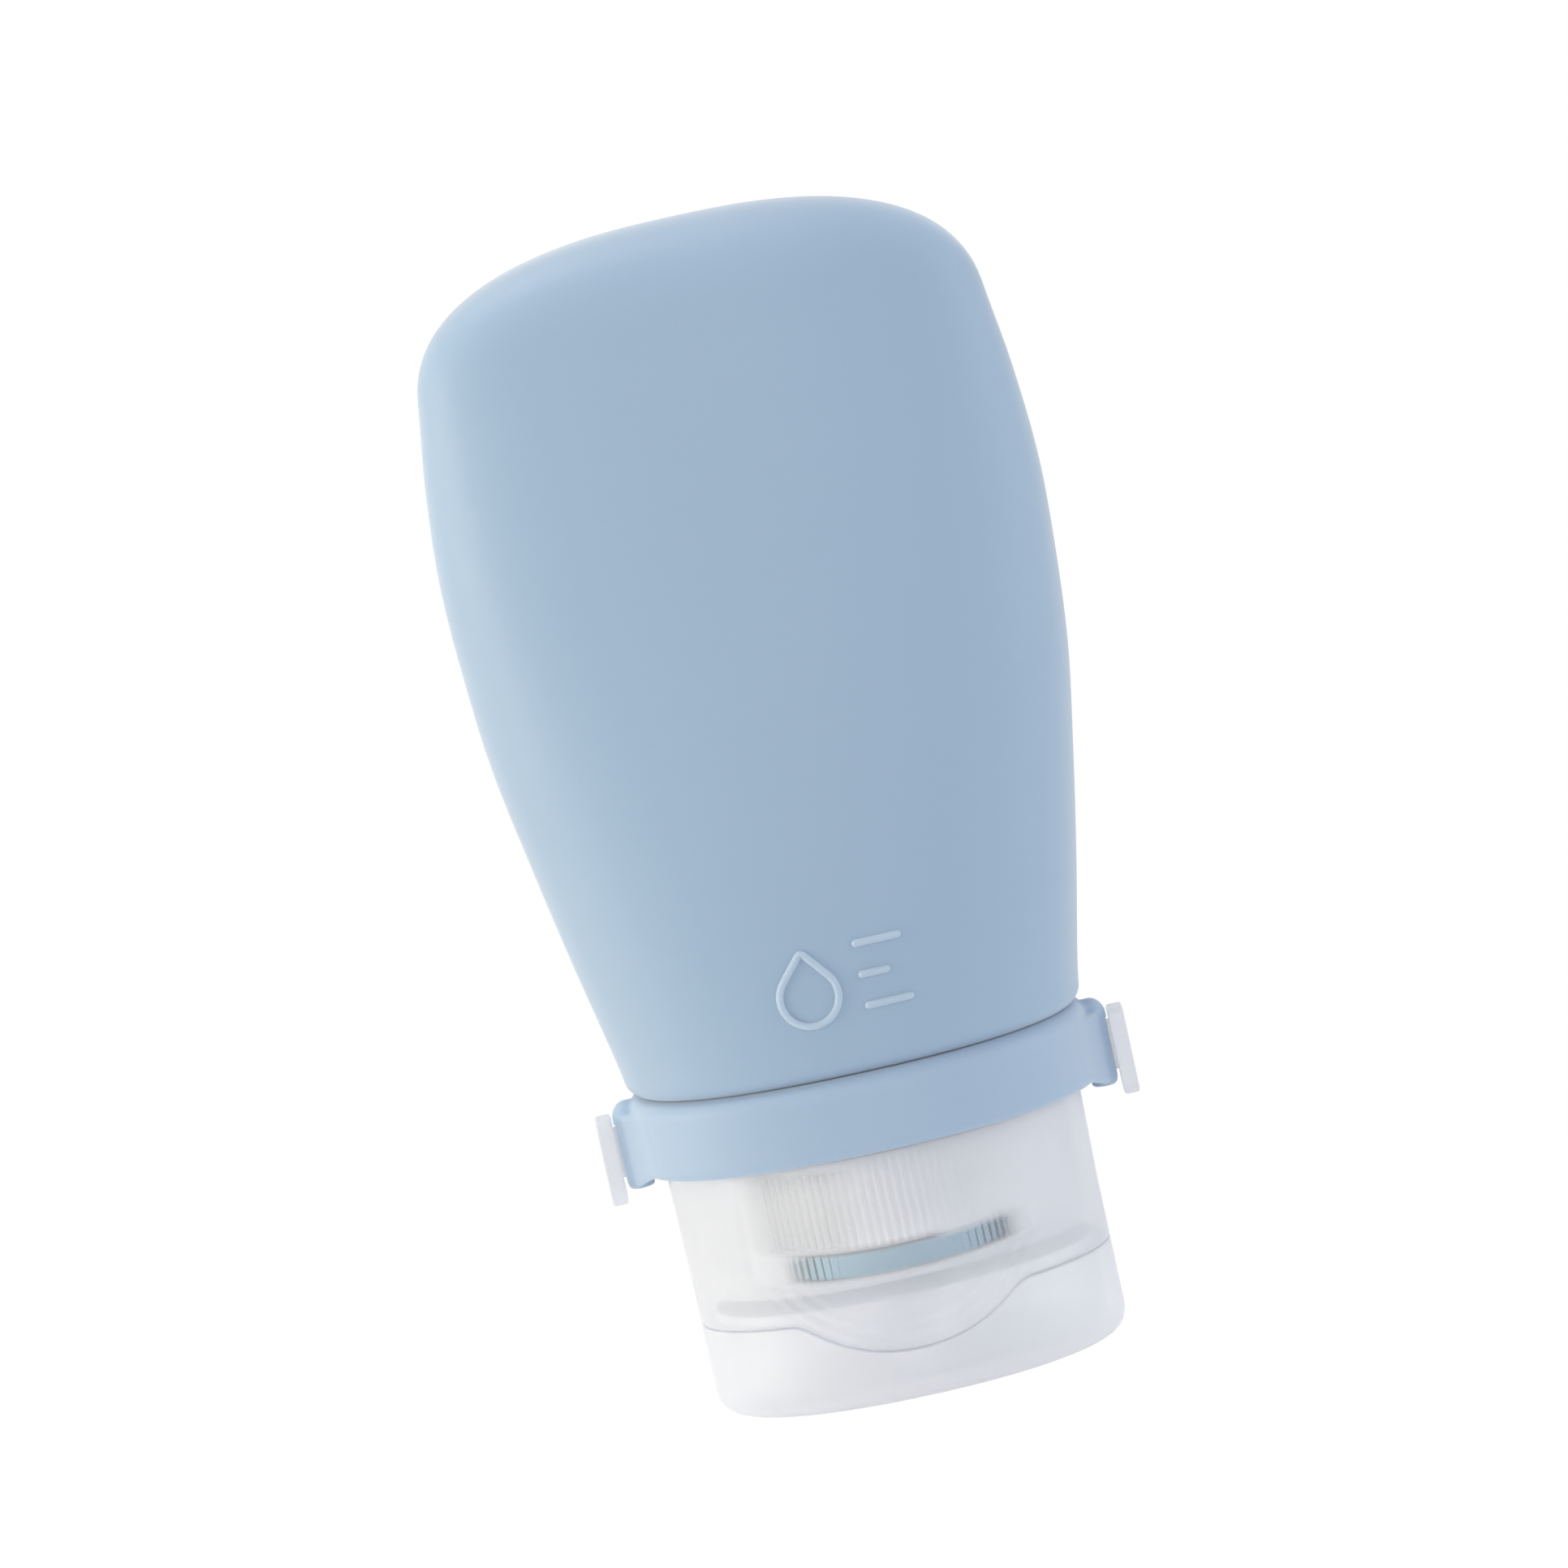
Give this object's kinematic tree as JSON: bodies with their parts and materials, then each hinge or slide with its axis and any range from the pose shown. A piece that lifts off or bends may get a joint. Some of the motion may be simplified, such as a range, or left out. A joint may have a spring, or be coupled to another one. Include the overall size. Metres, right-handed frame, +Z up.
{
  "type": "travel squeeze bottle",
  "caption": "Soft silicone squeeze bottle that stands on an oval flip-top screw closure, with a collar band and link plates at its ends.",
  "frame": {"origin": "middle of the lid's flat outer end, which the bottle stands on", "axes": "+Z up along the bottle's axis towards the soft tail, -Y to the front with the thumb notch, +X to the right-hand link plate"},
  "size_m": [0.0562, 0.034, 0.1096],
  "materials": {
    "powder_blue_silicone": "matte",
    "frosted_polypropylene": "frosted translucent",
    "natural_polypropylene": "satin translucent"
  },
  "bodies": {
    "bottle": {"bottle_body": "powder_blue_silicone", "neck_spout": "natural_polypropylene", "collar_band": "powder_blue_silicone", "link_plate_left": "natural_polypropylene", "link_plate_right": "natural_polypropylene"},
    "valve": {"slit_valve": "powder_blue_silicone"},
    "closure": {"cap_shell": "frosted_polypropylene", "thread_sleeve": "natural_polypropylene", "hinge_pin": "natural_polypropylene"},
    "lid": {"flip_lid": "frosted_polypropylene"}
  },
  "joints": [
    {"name": "closure_lift", "type": "slide", "parent": "bottle", "child": "valve", "axis": [0, 0, -1], "range_m": [0, 0.00901]},
    {"name": "closure_turn", "type": "hinge", "parent": "valve", "child": "closure", "pos_m": [0, 0, 0.015], "axis": [0, 0, -1], "range_deg": [0, 540]},
    {"name": "lid_flip", "type": "hinge", "parent": "closure", "child": "lid", "pos_m": [0, 0.01575, 0.00875], "axis": [1, 0, 0], "range_deg": [0, 140]}
  ],
  "couplings": [
    {"joint": "closure_lift", "follows": "closure_turn", "m_per_rad": 0.00095493}
  ]
}
